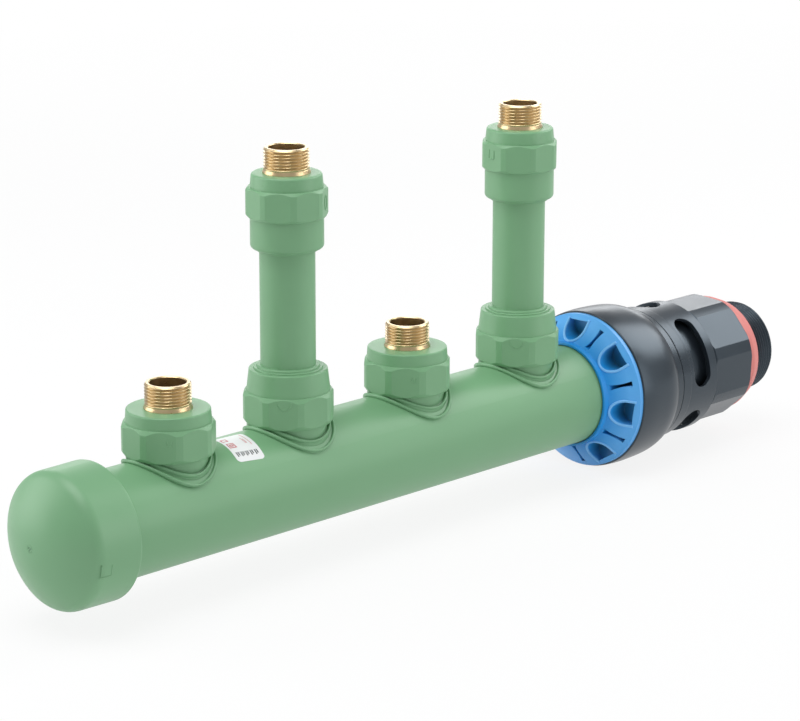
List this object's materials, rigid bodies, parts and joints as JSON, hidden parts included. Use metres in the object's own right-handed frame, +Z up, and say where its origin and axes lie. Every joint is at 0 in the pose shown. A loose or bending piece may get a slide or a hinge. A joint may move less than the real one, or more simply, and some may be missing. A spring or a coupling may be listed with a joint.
{
  "type": "pipe distribution manifold",
  "caption": "Straight plastic header pipe with welded upright outlets ending in brass male threads, a domed cap at one end and a push-fit threaded coupling at the other.",
  "frame": {"origin": "on the header's axis at the root of the inlet's male thread, where the gasket ends", "axes": "+X along the header's axis and out of the inlet thread, +Z up the outlets, +Y across"},
  "size_m": [0.6045, 0.1018, 0.2442],
  "materials": {
    "green_plastic": "satin",
    "brass": "polished",
    "blue_plastic": "satin",
    "black_plastic": "satin",
    "grip_plastic": "matte",
    "black_rubber": "matte",
    "coral_rubber": "matte"
  },
  "bodies": {
    "root": {"header_pipe": "green_plastic", "end_cap": "green_plastic", "transition_saddle_1": "green_plastic", "socket_saddle_2": "green_plastic", "transition_saddle_3": "green_plastic", "socket_saddle_4": "green_plastic", "riser_pipe_2": "green_plastic", "riser_pipe_4": "green_plastic", "riser_adaptor_2": "green_plastic", "riser_adaptor_4": "green_plastic", "brass_thread_1": "brass", "brass_thread_2": "brass", "brass_thread_3": "brass", "brass_thread_4": "brass", "guide_ring": "blue_plastic", "coupling_sleeve": "black_plastic", "coupling_body": "black_plastic", "grip_ring": "grip_plastic", "thrust_ring": "grip_plastic", "pipe_seal": "black_rubber", "thread_gasket": "coral_rubber"}
  },
  "joints": []
}
